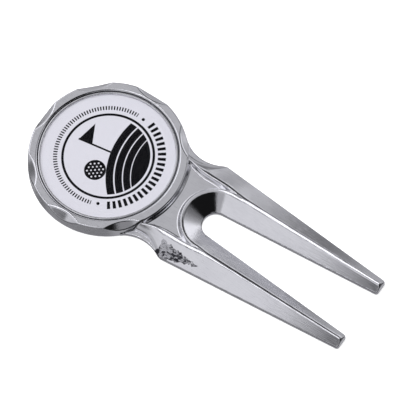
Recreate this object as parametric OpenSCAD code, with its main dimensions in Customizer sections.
// Divot repair tool: a chrome-plated two-prong fork with a magnetic ball marker seated in its head.
// +X runs from the head to the prong tips, +Z is up, and the flat back lies on z = 0.
// The origin is at the middle of the overall length, on the centre line of the back.

/* [Head] */
// Diameter of the head where it meets the back
head_base_d = 29; // [28.6:0.1:29.6]
// Diameter of the head at its top face
head_top_d = 28.5; // [28.2:0.1:28.6]
// Height of the head above the back
head_h = 3.2; // [3:0.1:3.4]
// Steps of the flute circle; the step that faces the prongs has no flute
flute_steps = 8; // [8]
// Radius of the scoop that cuts each flute
flute_r = 10.2; // [9:0.2:12]
// Fall of each flute below the horizontal, in degrees
flute_fall = 46; // [42:1:50]
// Distance from the head's axis to the start of each flute
flute_start = 13.15; // [13.1:0.05:13.3]

/* [Marker seat and magnet] */
// Diameter of the seat that takes the ball marker
seat_d = 25.3; // [25.3:0.05:25.5]
// Height of the seat floor above the back
seat_floor = 1.7; // [1.6:0.05:1.75]
// Width and depth of the bevel round the seat's mouth
seat_bevel = 0.15; // [0.1:0.05:0.2]
// Diameter of the magnet
magnet_d = 10; // [8:0.5:12]
// Thickness of the magnet
magnet_h = 0.9; // [0.7:0.05:0.9]
// Thickness of the adhesive under the magnet
adhesive_h = 0.1; // [0.05:0.01:0.1]

/* [Ball marker] */
// Diameter of the ball marker
marker_d = 25; // [24.5:0.1:25]
// Thickness of the marker's steel plate inside its rim
plate_h = 0.8; // [0.7:0.05:0.9]
// Height of the marker's steel rim
rim_h = 1.3; // [1.25:0.05:1.4]
// Width of the marker's steel rim
rim_w = 0.45; // [0.4:0.05:0.6]
// Thickness of the printed insert
print_h = 0.1; // [0.05:0.01:0.15]
// Rise of the resin dome above its own edge
dome_rise = 0.15; // [0.1:0.05:0.2]

/* [Web] */
// Height of the upright band round the fork's lower edge
band_h = 0.85; // [0.7:0.05:1]
// Height of the floor between the head and the prong gap
web_floor = 2.1; // [1.9:0.05:2.4]
// Radius of the step from the head down to that floor, at the floor
step_r = 14.6; // [14.4:0.05:14.7]
// Width of the raised border of the web and of the ridge on each prong
border_w = 0.4; // [0.35:0.05:0.5]
// Radius of the scooped neck beside the head, at the back
cove_r = 7; // [6.8:0.1:7.2]
// Distance of each scoop's centre from the head's axis, along the tool
cove_x = 14; // [13.8:0.1:14.2]
// Distance of each scoop's centre from the tool's centre line
cove_y = 16.3; // [16.2:0.1:16.5]
// Width of the ledge that each scoop leaves above the band
cove_ledge = 0.85; // [0.7:0.05:1]
// Growth of each scoop's radius from the ledge to the top of the head
cove_flare = 1; // [0.6:0.1:1.2]

/* [Prongs] */
// Distance from the head's axis to the end of the tips
tip_x = 54.1; // [52:0.1:56]
// Distance from the head's axis to the centre of the rounded end of the prong gap
gap_x = 23; // [22.8:0.1:23.5]
// Half width of the fork's lower edge at the gap's centre
outer_y = 10.13; // [10:0.01:10.3]
// Half width of the fork's lower edge at the tips
outer_tip_y = 7.55; // [7.3:0.05:7.8]
// Radius of the gap's rounded end at the back
gap_r = 2.4; // [2.2:0.1:2.6]
// Radius of the gap's rounded end at its rim
gap_rim_r = 5.7; // [5.6:0.1:5.9]
// Half width of the gap at the back, at the tips
gap_tip_y = 4.75; // [4.5:0.05:5]
// Distance of each prong's ridge from the centre line
ridge_y = 6.15; // [6.1:0.05:6.2]
// Height of the ridge at the tips
ridge_tip_h = 2.2; // [2:0.1:2.4]
// Radius of the rounded corners of the tips
tip_corner_r = 0.6; // [0.4:0.1:0.8]
// Height of the upright end of each tip
tip_wall = 1.6; // [1.3:0.1:1.8]
// Length of the slope that ends each ridge
tip_slope = 0.3; // [0.2:0.1:0.6]

/* [Hidden] */
$fn = 128;
thin = 0.05;                               // thickness of the sections that a hull joins
over = 1;                                  // how far a cut runs past the face it opens
dome_steps = 8;                            // rings of the dome's curve
border_steps = 5;                          // straight pieces of the border's curve
overall_l = head_base_d / 2 + tip_x;
head_x = head_base_d / 2 - overall_l / 2;
steel_r = marker_d / 2 - rim_w;
print_z = seat_floor + plate_h;
dome_z = print_z + print_h;
dome_edge = seat_floor + rim_h - dome_z;
magnet_sink = 0.05;                        // how far the magnet's face lies below the seat floor
magnet_room = 0.1;                         // room round the magnet in its pocket
adhesive_inset = 0.1;                      // how far the adhesive stops short of the magnet's edge
magnet_z = seat_floor - magnet_h - magnet_sink;
pocket_z = magnet_z - adhesive_h;
pocket_r = magnet_d / 2 + magnet_room;
ridge_in = ridge_y - border_w / 2;
ridge_out = ridge_y + border_w / 2;
web_start = 10;                            // where the neck begins, inside the head
web_dip = 0.3;                             // how far the outer faces' upper edge lies below the head's top there
rim_join = gap_x + 3;                      // where the gap's rim has met the line of the ridges
border_y = 6.62;                           // line of the border beside the prongs' roots
border_end = gap_x + 0.5;                  // where the border turns in to meet the ridge
border_join = gap_x + 1.5;                 // where it has met the ridge
border_bend = 17.6;                        // where the border starts to curve out to the head
border_head = [12.6, 7.65];                // where the border meets the head's rim

// Half width of the fork's lower edge, x mm from the head's axis
function outer_at(x) = outer_y + (x - gap_x) * (outer_tip_y - outer_y) / (tip_x - gap_x);

// Half width of the gap at the back, x mm from the head's axis
function gap_at(x) = gap_r + (x - gap_x) * (gap_tip_y - gap_r) / (tip_x - gap_x);

// Height of the outer faces' upper edge, x mm from the head's axis: it rises to the head's level at the gap,
// where it becomes the ridge, and falls again to the tips
function ridge_at(x) = x < gap_x
    ? head_h - web_dip * (gap_x - x) / (gap_x - web_start)
    : head_h + (x - gap_x) * (ridge_tip_h - head_h) / (tip_x - gap_x);

// A point on the border's centre line between the head and its bend, t from 0 to 1
function border_curve(t) = [
    border_head.x + t * (border_bend - border_head.x),
    border_y + (border_head.y - border_y) * pow(1 - t, 2)
];

border_line = concat(
    [for (i = [0 : border_steps]) border_curve(i / border_steps)],
    [[border_end, border_y], [border_join, ridge_y]]
);

// The points of one half of an outline, and the same points mirrored about the centre line
function both_sides(half) = concat(half, [for (i = [len(half) - 1 : -1 : 0]) [half[i].x, -half[i].y]]);

// A thin slice across the tool, x mm from the head's axis, whose half outline is [height, half width] points
module section(x, half) {
    translate([x + thin, 0, 0])
        rotate([0, -90, 0])
            linear_extrude(thin) polygon(both_sides(half));
}

module fork_section(x) {
    section(x, [[0, outer_at(x)], [band_h, outer_at(x)], [ridge_at(x), ridge_out]]);
}

// The neck, the web and the prongs as one solid wedge, before the gap and the pocket are cut
module fork_blank() {
    hull() {
        fork_section(web_start);
        fork_section(gap_x - thin);
    }
    hull() {
        fork_section(gap_x - thin);
        fork_section(tip_x - thin);
    }
}

// How far the gap's side leans out for each mm of height, from its foot to its rim
function gap_lean(foot_y, rim_y, rim_h) = (rim_y - foot_y) / (rim_h - band_h);

// A slice across the sloping upper part of the gap, carried past the rim
module gap_section(x, rim_y) {
    lean = gap_lean(gap_at(x), rim_y, ridge_at(x));
    section(x, [[band_h, gap_at(x)], [ridge_at(x) + over, rim_y + lean * over]]);
}

// The gap between the prongs: a funnel at its closed end and a widening channel out past the tips
module gap() {
    lean = gap_lean(gap_r, gap_rim_r, head_h);
    translate([gap_x, 0, -over]) cylinder(h = over + band_h, r = gap_r);
    translate([gap_x, 0, band_h])
        cylinder(h = head_h - band_h + over, r1 = gap_r, r2 = gap_rim_r + lean * over);
    translate([0, 0, -over])
        linear_extrude(over + band_h)
            polygon(both_sides([[gap_x, gap_r], [tip_x + over, gap_at(tip_x + over)]]));
    hull() {
        gap_section(gap_x, gap_rim_r);
        gap_section(rim_join, ridge_in);
    }
    hull() {
        gap_section(rim_join - thin, ridge_in);
        gap_section(tip_x + over, ridge_in);
    }
}

// The scoop beside the head: upright through the band, then set back by the ledge and flaring
module cove() {
    inset = cove_ledge / sqrt(2);
    translate([cove_x, cove_y, -over]) cylinder(h = head_h + 2 * over, r = cove_r);
    translate([cove_x - inset, cove_y - inset, band_h])
        cylinder(h = head_h - band_h + thin, r1 = cove_r, r2 = cove_r + cove_flare);
}

// The raised border along one side of the web
module border() {
    half = border_w / 2;
    linear_extrude(head_h)
        polygon(concat(
            [for (p = border_line) p + [0, half]],
            [for (i = [len(border_line) - 1 : -1 : 0]) border_line[i] - [0, half]]
        ));
}

// The hollow of the web, inside its borders and outside the gap's rim
module pocket() {
    half = border_w / 2;
    difference() {
        translate([0, 0, web_floor])
            linear_extrude(head_h)
                difference() {
                    polygon(both_sides([for (p = border_line) if (p.x < border_join) p - [0, half]]));
                    translate([gap_x, 0]) circle(r = gap_rim_r + border_w);
                    translate([gap_x, -gap_rim_r - border_w])
                        square([over, 2 * (gap_rim_r + border_w)]);
                }
        translate([0, 0, web_floor])
            cylinder(h = head_h - web_floor, r1 = step_r, r2 = head_top_d / 2);
        cylinder(h = head_h + over, r = head_top_d / 2);
    }
}

// What a rounded corner of radius r leaves to be cut away; the corner points to +X and +Y
module corner_waste(r) {
    translate([-r, -r, -over])
        linear_extrude(head_h + 2 * over)
            difference() {
                square(2 * r);
                circle(r = r);
            }
}

// Everything cut from the tips: four rounded corners and the slope that ends each ridge
module tip_cuts() {
    for (side = [-1, 1]) {
        translate([tip_x, side * outer_tip_y, 0]) mirror([0, side < 0 ? 1 : 0, 0]) corner_waste(tip_corner_r);
        translate([tip_x, side * gap_tip_y, 0]) mirror([0, side < 0 ? 0 : 1, 0]) corner_waste(tip_corner_r);
    }
    lean = tip_slope / (ridge_tip_h - tip_wall);
    translate([0, outer_y, 0])
        rotate([90, 0, 0])
            linear_extrude(2 * outer_y)
                polygon([
                    [tip_x, tip_wall], [tip_x + over, tip_wall],
                    [tip_x + over, head_h], [tip_x - lean * (head_h - tip_wall), head_h]
                ]);
}

module flute() {
    out = sin(flute_fall);
    up = cos(flute_fall);
    translate([flute_start + flute_r * out, 0, head_h + flute_r * up])
        rotate([0, 90 + flute_fall, 0])
            cylinder(h = 2 * flute_r, r = flute_r, center = true);
}

module head() {
    difference() {
        cylinder(h = head_h, d1 = head_base_d, d2 = head_top_d);
        for (step = [1 : flute_steps - 1]) rotate([0, 0, step * 360 / flute_steps]) flute();
    }
}

// The marker's seat with its bevelled mouth, and the magnet's pocket below it
module seat() {
    translate([0, 0, seat_floor]) cylinder(h = head_h, d = seat_d);
    translate([0, 0, head_h - seat_bevel])
        cylinder(h = 2 * seat_bevel, d1 = seat_d, d2 = seat_d + 4 * seat_bevel);
    translate([0, 0, pocket_z]) cylinder(h = head_h, r = pocket_r);
}

module fork_body() {
    color("silver")
        translate([head_x, 0, 0])
            difference() {
                union() {
                    head();
                    difference() {
                        union() {
                            fork_blank();
                            border();
                            mirror([0, 1, 0]) border();
                        }
                        cove();
                        mirror([0, 1, 0]) cove();
                        gap();
                        tip_cuts();
                    }
                }
                pocket();
                seat();
            }
}

module magnet() {
    color("dimgray")
        translate([head_x, 0, magnet_z]) cylinder(h = magnet_h, d = magnet_d);
}

module magnet_adhesive() {
    color("khaki")
        translate([head_x, 0, pocket_z]) cylinder(h = adhesive_h, d = magnet_d - 2 * adhesive_inset);
}

module marker_disc() {
    color("gainsboro")
        translate([head_x, 0, seat_floor])
            difference() {
                cylinder(h = rim_h, d = marker_d);
                translate([0, 0, plate_h]) cylinder(h = rim_h, r = steel_r);
            }
}

module marker_print() {
    color("white")
        translate([head_x, 0, print_z]) cylinder(h = print_h, r = steel_r);
}

// A level edge as high as the steel rim, and a shallow cap on top
module marker_dome() {
    color("aliceblue", 0.3)
        translate([head_x, 0, dome_z])
            rotate_extrude()
                polygon(concat(
                    [[0, 0], [steel_r, 0]],
                    [for (r = [1 : -1 / dome_steps : 0])
                        [steel_r * r, dome_edge + dome_rise * (1 - r * r)]]
                ));
}

fork_body();
magnet();
magnet_adhesive();
marker_disc();
marker_print();
marker_dome();
